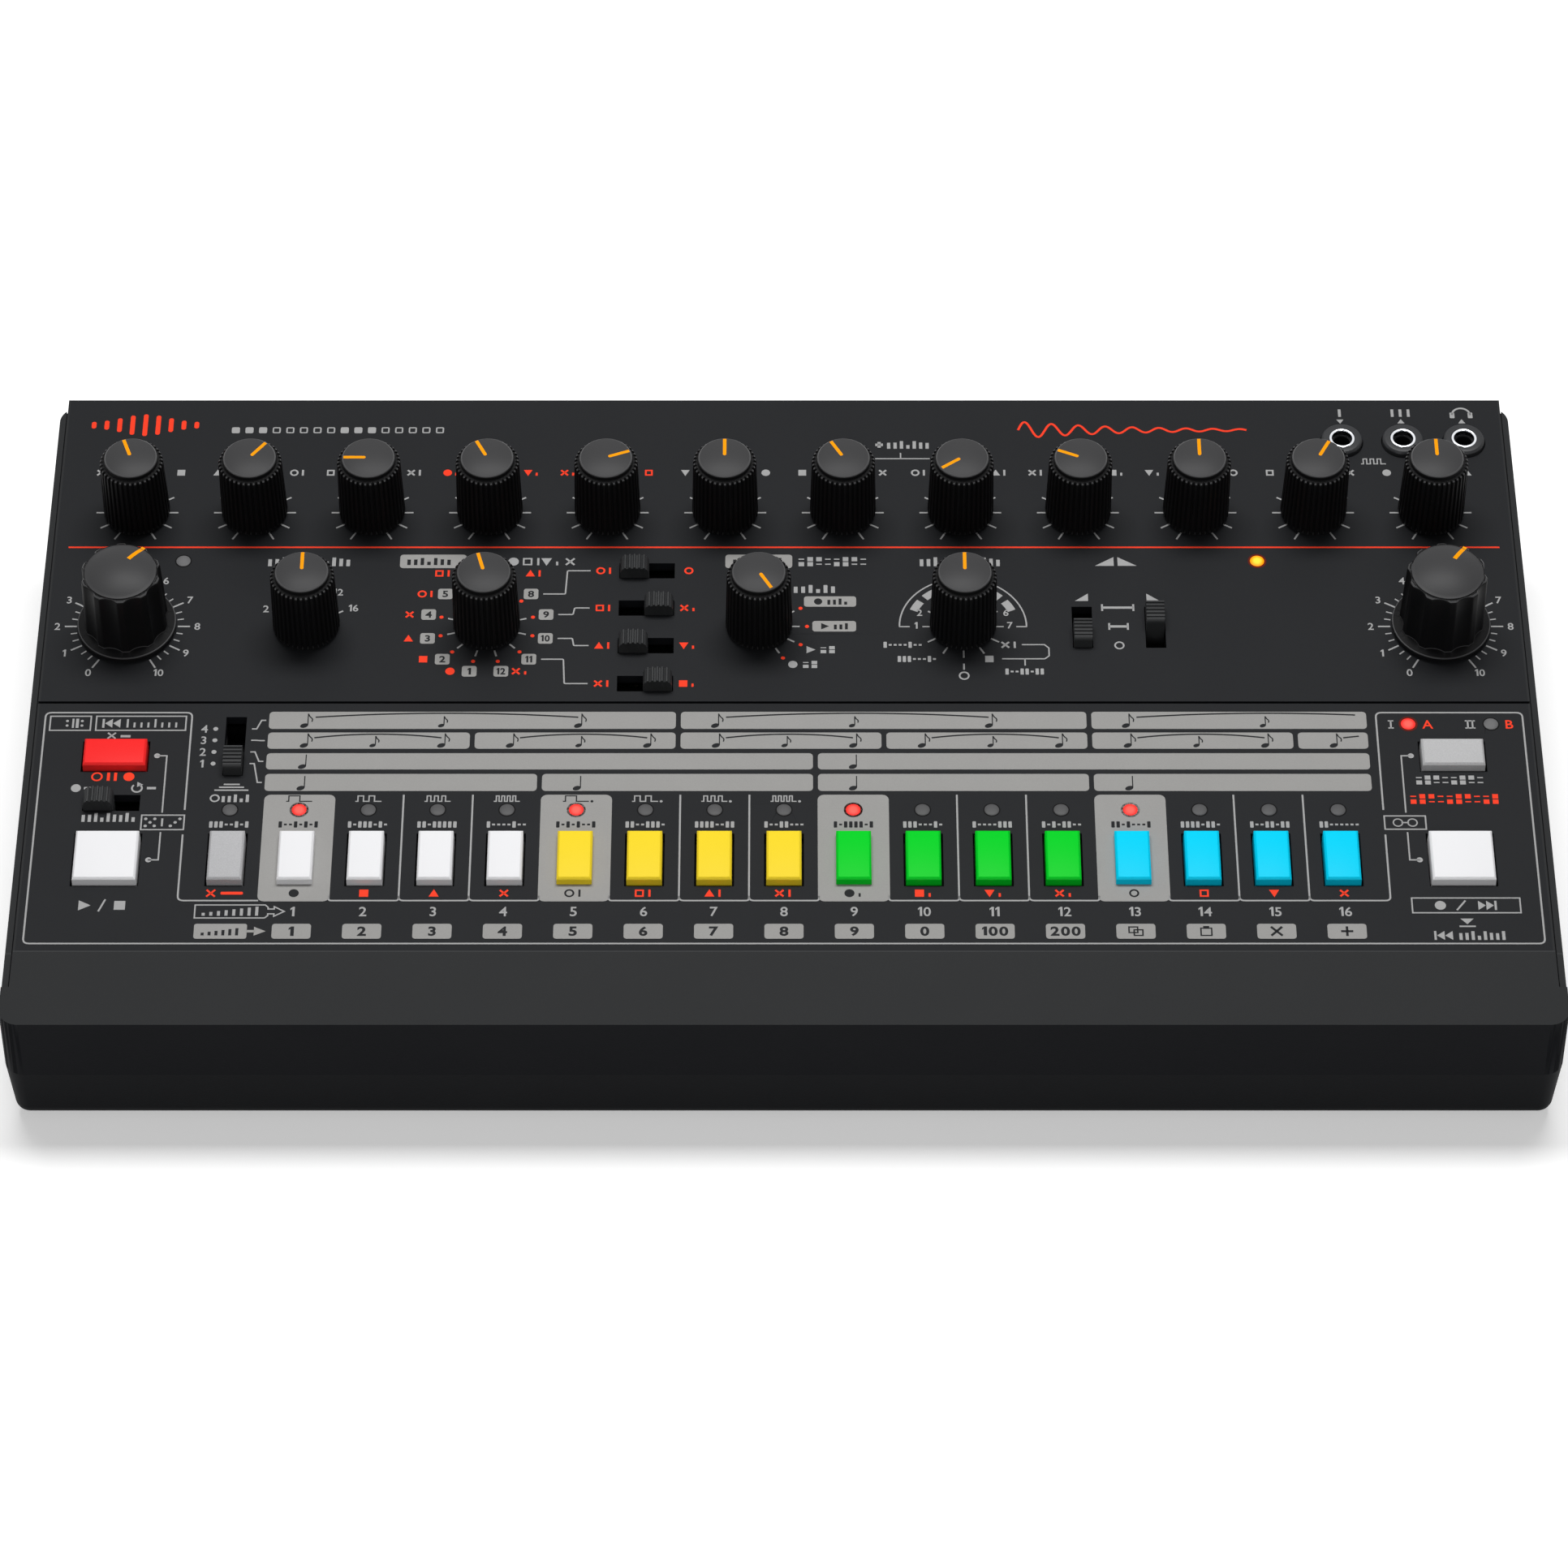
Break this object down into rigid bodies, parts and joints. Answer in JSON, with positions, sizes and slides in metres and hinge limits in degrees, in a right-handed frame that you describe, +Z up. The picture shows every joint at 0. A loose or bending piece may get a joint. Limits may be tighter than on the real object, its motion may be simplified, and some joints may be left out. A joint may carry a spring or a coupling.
{
  "type": "drum machine",
  "caption": "Desktop drum machine: sloping two-shell case with turning knobs, travelling keys, slide switches, lamps and plug sockets.",
  "frame": {"origin": "middle of the footprint, on the surface that the feet stand on", "axes": "+X to the user's right along the width, +Y from the front edge to the rear, +Z up"},
  "size_m": [0.305, 0.165, 0.0576],
  "materials": {
    "case_plastic": "fine-grained satin",
    "lower_case_plastic": "fine-grained satin",
    "circuit_board": "green solder mask",
    "pot_metal": "plated",
    "switch_plastic": "moulded",
    "slide_switch_metal": "plated",
    "jack_plastic": "black collars with bright sleeves",
    "lamp_red": "lit",
    "lamp_grey": "unlit",
    "socket_plastic": "moulded",
    "foot_rubber": "matt",
    "screw_steel": "plated",
    "knob_plastic": "black ribbed side, grey cap, orange pointer",
    "lever_plastic": "satin",
    "key_white": "satin",
    "key_yellow": "satin",
    "key_green": "satin",
    "key_cyan": "satin",
    "key_red": "satin",
    "key_grey": "satin",
    "key_light_grey": "satin"
  },
  "bodies": {
    "case": {"top_case": "case_plastic", "bottom_case": "lower_case_plastic", "circuit_boards": "circuit_board", "potentiometers": "pot_metal", "key_switches": "switch_plastic", "slide_switches": "slide_switch_metal", "top_jacks": "jack_plastic", "leds_lit": "lamp_red", "leds_off": "lamp_grey", "rear_sockets": "socket_plastic", "feet": "foot_rubber", "screws": "screw_steel"},
    "tempo_knob": {"tempo_knob": "knob_plastic"},
    "volume_knob": {"volume_knob": "knob_plastic"},
    "variation_selector": {"variation_selector": "knob_plastic"},
    "instrument_selector": {"instrument_selector": "knob_plastic"},
    "mode_selector": {"mode_selector": "knob_plastic"},
    "rhythm_selector": {"rhythm_selector": "knob_plastic"},
    "voice_lever_1": {"voice_lever_1": "lever_plastic"},
    "voice_lever_2": {"voice_lever_2": "lever_plastic"},
    "voice_lever_3": {"voice_lever_3": "lever_plastic"},
    "voice_lever_4": {"voice_lever_4": "lever_plastic"},
    "auto_lever": {"auto_lever": "lever_plastic"},
    "fade_in_lever": {"fade_in_lever": "lever_plastic"},
    "fade_out_lever": {"fade_out_lever": "lever_plastic"},
    "scale_lever": {"scale_lever": "lever_plastic"},
    "power_lever": {"power_lever": "lever_plastic"},
    "start_key": {"start_key": "key_white"},
    "write_key": {"write_key": "key_white"},
    "clear_key": {"clear_key": "key_red"},
    "pattern_key": {"pattern_key": "key_light_grey"},
    "function_key": {"function_key": "key_grey"},
    "level_knob_01": {"level_knob_01": "knob_plastic"},
    "level_knob_02": {"level_knob_02": "knob_plastic"},
    "level_knob_03": {"level_knob_03": "knob_plastic"},
    "level_knob_04": {"level_knob_04": "knob_plastic"},
    "level_knob_05": {"level_knob_05": "knob_plastic"},
    "level_knob_06": {"level_knob_06": "knob_plastic"},
    "level_knob_07": {"level_knob_07": "knob_plastic"},
    "level_knob_08": {"level_knob_08": "knob_plastic"},
    "level_knob_09": {"level_knob_09": "knob_plastic"},
    "level_knob_10": {"level_knob_10": "knob_plastic"},
    "level_knob_11": {"level_knob_11": "knob_plastic"},
    "level_knob_12": {"level_knob_12": "knob_plastic"},
    "step_key_01": {"step_key_01": "key_white"},
    "step_key_02": {"step_key_02": "key_white"},
    "step_key_03": {"step_key_03": "key_white"},
    "step_key_04": {"step_key_04": "key_white"},
    "step_key_05": {"step_key_05": "key_yellow"},
    "step_key_06": {"step_key_06": "key_yellow"},
    "step_key_07": {"step_key_07": "key_yellow"},
    "step_key_08": {"step_key_08": "key_yellow"},
    "step_key_09": {"step_key_09": "key_green"},
    "step_key_10": {"step_key_10": "key_green"},
    "step_key_11": {"step_key_11": "key_green"},
    "step_key_12": {"step_key_12": "key_green"},
    "step_key_13": {"step_key_13": "key_cyan"},
    "step_key_14": {"step_key_14": "key_cyan"},
    "step_key_15": {"step_key_15": "key_cyan"},
    "step_key_16": {"step_key_16": "key_cyan"}
  },
  "joints": [
    {"name": "tempo_knob_turn", "type": "hinge", "parent": "case", "child": "tempo_knob", "pos_m": [-0.13425, 0.01951, 0.03734], "axis": [0, -0.0872, 0.9962], "range_deg": [-117, 183]},
    {"name": "volume_knob_turn", "type": "hinge", "parent": "case", "child": "volume_knob", "pos_m": [0.13425, 0.01951, 0.03734], "axis": [0, -0.0872, 0.9962], "range_deg": [-119, 181]},
    {"name": "variation_selector_turn", "type": "hinge", "parent": "case", "child": "variation_selector", "pos_m": [-0.0976, 0.01951, 0.03734], "axis": [0, -0.0872, 0.9962], "range_deg": [-150, 150]},
    {"name": "instrument_selector_turn", "type": "hinge", "parent": "case", "child": "instrument_selector", "pos_m": [-0.06075, 0.01951, 0.03734], "axis": [0, -0.0872, 0.9962], "range_deg": [-180, 150]},
    {"name": "mode_selector_turn", "type": "hinge", "parent": "case", "child": "mode_selector", "pos_m": [-0.0051, 0.01951, 0.03734], "axis": [0, -0.0872, 0.9962], "range_deg": [0, 120]},
    {"name": "rhythm_selector_turn", "type": "hinge", "parent": "case", "child": "rhythm_selector", "pos_m": [0.0366, 0.01951, 0.03734], "axis": [0, -0.0872, 0.9962], "range_deg": [-150, 150]},
    {"name": "voice_lever_1_slide", "type": "slide", "parent": "case", "child": "voice_lever_1", "axis": [1, 0, 0], "range_m": [0, 0.0051]},
    {"name": "voice_lever_2_slide", "type": "slide", "parent": "case", "child": "voice_lever_2", "axis": [1, 0, 0], "range_m": [-0.0051, 0]},
    {"name": "voice_lever_3_slide", "type": "slide", "parent": "case", "child": "voice_lever_3", "axis": [1, 0, 0], "range_m": [0, 0.0051]},
    {"name": "voice_lever_4_slide", "type": "slide", "parent": "case", "child": "voice_lever_4", "axis": [1, 0, 0], "range_m": [-0.0051, 0]},
    {"name": "auto_lever_slide", "type": "slide", "parent": "case", "child": "auto_lever", "axis": [1, 0, 0], "range_m": [0, 0.0051]},
    {"name": "fade_in_lever_slide", "type": "slide", "parent": "case", "child": "fade_in_lever", "axis": [0, 0.9962, 0.0872], "range_m": [0, 0.0048]},
    {"name": "fade_out_lever_slide", "type": "slide", "parent": "case", "child": "fade_out_lever", "axis": [0, 0.9962, 0.0872], "range_m": [-0.0048, 0]},
    {"name": "scale_lever_slide", "type": "slide", "parent": "case", "child": "scale_lever", "axis": [0, 0.9962, 0.0872], "range_m": [0, 0.009]},
    {"name": "power_lever_slide", "type": "slide", "parent": "case", "child": "power_lever", "axis": [1, 0, 0], "range_m": [0, 0.003]},
    {"name": "start_key_press", "type": "slide", "parent": "case", "child": "start_key", "axis": [0, 0.0872, -0.9962], "range_m": [0, 0.0012], "stiffness_N_per_m": 800},
    {"name": "write_key_press", "type": "slide", "parent": "case", "child": "write_key", "axis": [0, 0.0872, -0.9962], "range_m": [0, 0.0012], "stiffness_N_per_m": 800},
    {"name": "clear_key_press", "type": "slide", "parent": "case", "child": "clear_key", "axis": [0, 0.0872, -0.9962], "range_m": [0, 0.0012], "stiffness_N_per_m": 800},
    {"name": "pattern_key_press", "type": "slide", "parent": "case", "child": "pattern_key", "axis": [0, 0.0872, -0.9962], "range_m": [0, 0.0012], "stiffness_N_per_m": 800},
    {"name": "function_key_press", "type": "slide", "parent": "case", "child": "function_key", "axis": [0, 0.0872, -0.9962], "range_m": [0, 0.0012], "stiffness_N_per_m": 800},
    {"name": "level_knob_01_turn", "type": "hinge", "parent": "case", "child": "level_knob_01", "pos_m": [-0.13431, 0.05059, 0.04006], "axis": [0, -0.0872, 0.9962], "range_deg": [-170, 130]},
    {"name": "level_knob_02_turn", "type": "hinge", "parent": "case", "child": "level_knob_02", "pos_m": [-0.10989, 0.05059, 0.04006], "axis": [0, -0.0872, 0.9962], "range_deg": [-112, 188]},
    {"name": "level_knob_03_turn", "type": "hinge", "parent": "case", "child": "level_knob_03", "pos_m": [-0.08547, 0.05059, 0.04006], "axis": [0, -0.0872, 0.9962], "range_deg": [-240, 60]},
    {"name": "level_knob_04_turn", "type": "hinge", "parent": "case", "child": "level_knob_04", "pos_m": [-0.06105, 0.05059, 0.04006], "axis": [0, -0.0872, 0.9962], "range_deg": [-177, 123]},
    {"name": "level_knob_05_turn", "type": "hinge", "parent": "case", "child": "level_knob_05", "pos_m": [-0.03663, 0.05059, 0.04006], "axis": [0, -0.0872, 0.9962], "range_deg": [-80, 220]},
    {"name": "level_knob_06_turn", "type": "hinge", "parent": "case", "child": "level_knob_06", "pos_m": [-0.01221, 0.05059, 0.04006], "axis": [0, -0.0872, 0.9962], "range_deg": [-150, 150]},
    {"name": "level_knob_07_turn", "type": "hinge", "parent": "case", "child": "level_knob_07", "pos_m": [0.01221, 0.05059, 0.04006], "axis": [0, -0.0872, 0.9962], "range_deg": [-180, 120]},
    {"name": "level_knob_08_turn", "type": "hinge", "parent": "case", "child": "level_knob_08", "pos_m": [0.03663, 0.05059, 0.04006], "axis": [0, -0.0872, 0.9962], "range_deg": [-275, 25]},
    {"name": "level_knob_09_turn", "type": "hinge", "parent": "case", "child": "level_knob_09", "pos_m": [0.06105, 0.05059, 0.04006], "axis": [0, -0.0872, 0.9962], "range_deg": [-217, 83]},
    {"name": "level_knob_10_turn", "type": "hinge", "parent": "case", "child": "level_knob_10", "pos_m": [0.08547, 0.05059, 0.04006], "axis": [0, -0.0872, 0.9962], "range_deg": [-150, 150]},
    {"name": "level_knob_11_turn", "type": "hinge", "parent": "case", "child": "level_knob_11", "pos_m": [0.10989, 0.05059, 0.04006], "axis": [0, -0.0872, 0.9962], "range_deg": [-122, 178]},
    {"name": "level_knob_12_turn", "type": "hinge", "parent": "case", "child": "level_knob_12", "pos_m": [0.13431, 0.05059, 0.04006], "axis": [0, -0.0872, 0.9962], "range_deg": [-150, 150]},
    {"name": "step_key_01_press", "type": "slide", "parent": "case", "child": "step_key_01", "axis": [0, 0.0872, -0.9962], "range_m": [0, 0.0012], "stiffness_N_per_m": 800},
    {"name": "step_key_02_press", "type": "slide", "parent": "case", "child": "step_key_02", "axis": [0, 0.0872, -0.9962], "range_m": [0, 0.0012], "stiffness_N_per_m": 800},
    {"name": "step_key_03_press", "type": "slide", "parent": "case", "child": "step_key_03", "axis": [0, 0.0872, -0.9962], "range_m": [0, 0.0012], "stiffness_N_per_m": 800},
    {"name": "step_key_04_press", "type": "slide", "parent": "case", "child": "step_key_04", "axis": [0, 0.0872, -0.9962], "range_m": [0, 0.0012], "stiffness_N_per_m": 800},
    {"name": "step_key_05_press", "type": "slide", "parent": "case", "child": "step_key_05", "axis": [0, 0.0872, -0.9962], "range_m": [0, 0.0012], "stiffness_N_per_m": 800},
    {"name": "step_key_06_press", "type": "slide", "parent": "case", "child": "step_key_06", "axis": [0, 0.0872, -0.9962], "range_m": [0, 0.0012], "stiffness_N_per_m": 800},
    {"name": "step_key_07_press", "type": "slide", "parent": "case", "child": "step_key_07", "axis": [0, 0.0872, -0.9962], "range_m": [0, 0.0012], "stiffness_N_per_m": 800},
    {"name": "step_key_08_press", "type": "slide", "parent": "case", "child": "step_key_08", "axis": [0, 0.0872, -0.9962], "range_m": [0, 0.0012], "stiffness_N_per_m": 800},
    {"name": "step_key_09_press", "type": "slide", "parent": "case", "child": "step_key_09", "axis": [0, 0.0872, -0.9962], "range_m": [0, 0.0012], "stiffness_N_per_m": 800},
    {"name": "step_key_10_press", "type": "slide", "parent": "case", "child": "step_key_10", "axis": [0, 0.0872, -0.9962], "range_m": [0, 0.0012], "stiffness_N_per_m": 800},
    {"name": "step_key_11_press", "type": "slide", "parent": "case", "child": "step_key_11", "axis": [0, 0.0872, -0.9962], "range_m": [0, 0.0012], "stiffness_N_per_m": 800},
    {"name": "step_key_12_press", "type": "slide", "parent": "case", "child": "step_key_12", "axis": [0, 0.0872, -0.9962], "range_m": [0, 0.0012], "stiffness_N_per_m": 800},
    {"name": "step_key_13_press", "type": "slide", "parent": "case", "child": "step_key_13", "axis": [0, 0.0872, -0.9962], "range_m": [0, 0.0012], "stiffness_N_per_m": 800},
    {"name": "step_key_14_press", "type": "slide", "parent": "case", "child": "step_key_14", "axis": [0, 0.0872, -0.9962], "range_m": [0, 0.0012], "stiffness_N_per_m": 800},
    {"name": "step_key_15_press", "type": "slide", "parent": "case", "child": "step_key_15", "axis": [0, 0.0872, -0.9962], "range_m": [0, 0.0012], "stiffness_N_per_m": 800},
    {"name": "step_key_16_press", "type": "slide", "parent": "case", "child": "step_key_16", "axis": [0, 0.0872, -0.9962], "range_m": [0, 0.0012], "stiffness_N_per_m": 800}
  ]
}
